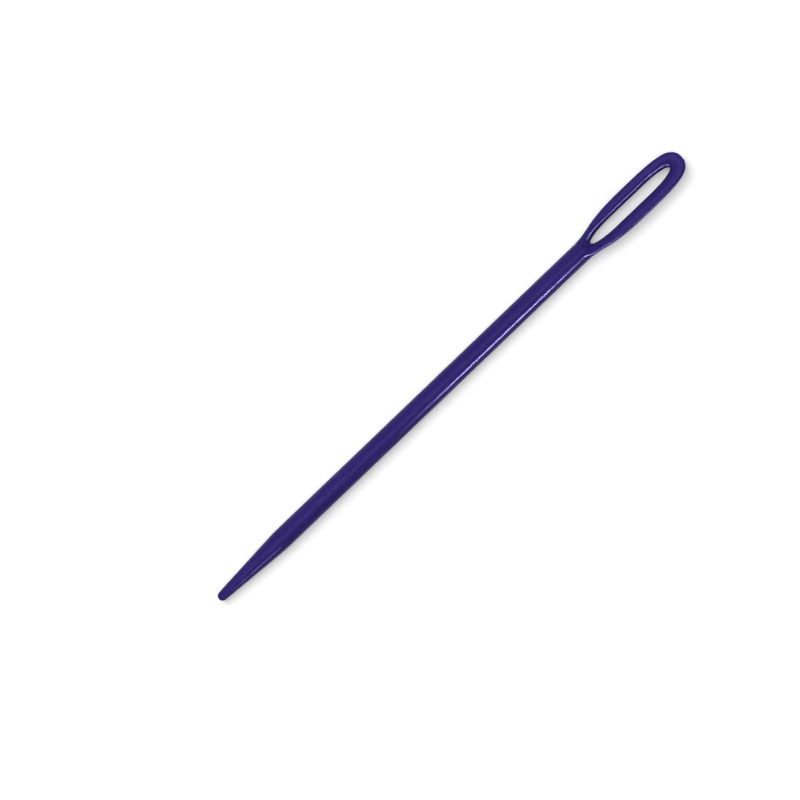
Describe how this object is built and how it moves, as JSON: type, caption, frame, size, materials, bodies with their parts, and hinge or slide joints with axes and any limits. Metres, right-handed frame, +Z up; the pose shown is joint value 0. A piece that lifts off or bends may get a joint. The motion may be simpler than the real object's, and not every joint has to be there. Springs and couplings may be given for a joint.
{
  "type": "yarn needle",
  "caption": "Blunt plastic yarn needle with a tapered point, a round straight shaft and a long open eye, moulded in one piece.",
  "frame": {"origin": "on the surface the needle lies on, under the middle of its length and width", "axes": "+X along the needle from its tip to its eye, +Y across the eye, +Z up out of the flat side of the eye"},
  "size_m": [0.07, 0.004, 0.0023],
  "materials": {
    "body_plastic": "semi-gloss moulded plastic in dark violet-blue, with fine flow lines along the needle"
  },
  "bodies": {
    "root": {"shaft": "body_plastic", "eye": "body_plastic"}
  },
  "joints": []
}
